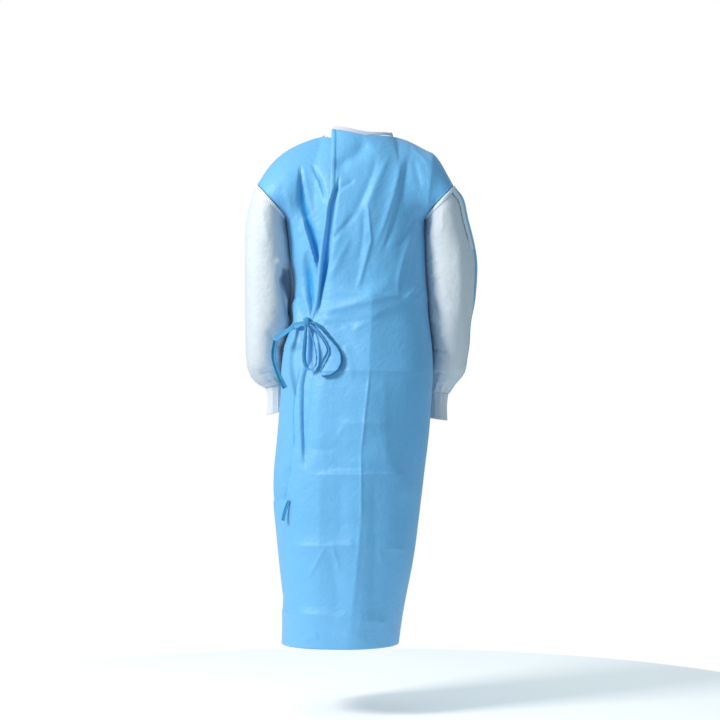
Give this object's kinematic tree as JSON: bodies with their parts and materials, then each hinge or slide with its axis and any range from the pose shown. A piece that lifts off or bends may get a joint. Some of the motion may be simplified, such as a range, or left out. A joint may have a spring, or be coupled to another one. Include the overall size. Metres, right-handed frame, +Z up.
{
  "type": "surgical gown",
  "caption": "Wraparound surgical gown in light blue nonwoven, worn shape with a hollow body, long sleeves, knitted cuffs, lapped open back and a waist tie in a bow.",
  "frame": {"origin": "top of the back of the neck opening, where the wearer's neck and shoulders hold the gown", "axes": "+Z up, +Y towards the front of the gown, +X towards the wearer's right side"},
  "size_m": [0.5581, 0.3185, 1.2397],
  "materials": {
    "nonwoven_blue": "soft light blue nonwoven with a faint sheen",
    "nonwoven_pale": "pale lilac-white nonwoven",
    "knit_white": "white rib knit",
    "binding_white": "white bias binding"
  },
  "bodies": {
    "root": {"front_panel": "nonwoven_blue", "back_panel_right": "nonwoven_blue", "back_panel_left": "nonwoven_blue", "sleeve_back_left": "nonwoven_pale", "sleeve_back_right": "nonwoven_pale", "sleeve_front_left": "nonwoven_blue", "sleeve_front_right": "nonwoven_blue", "cuff_left": "knit_white", "cuff_right": "knit_white", "neck_binding": "binding_white", "tie_knot": "nonwoven_blue", "tie_strap_left": "nonwoven_blue", "tie_tail_left": "nonwoven_blue", "tie_loop_centre": "nonwoven_blue", "tie_loop_right": "nonwoven_blue", "tie_tail_right": "nonwoven_blue", "tie_end_inner": "nonwoven_blue"}
  },
  "joints": []
}
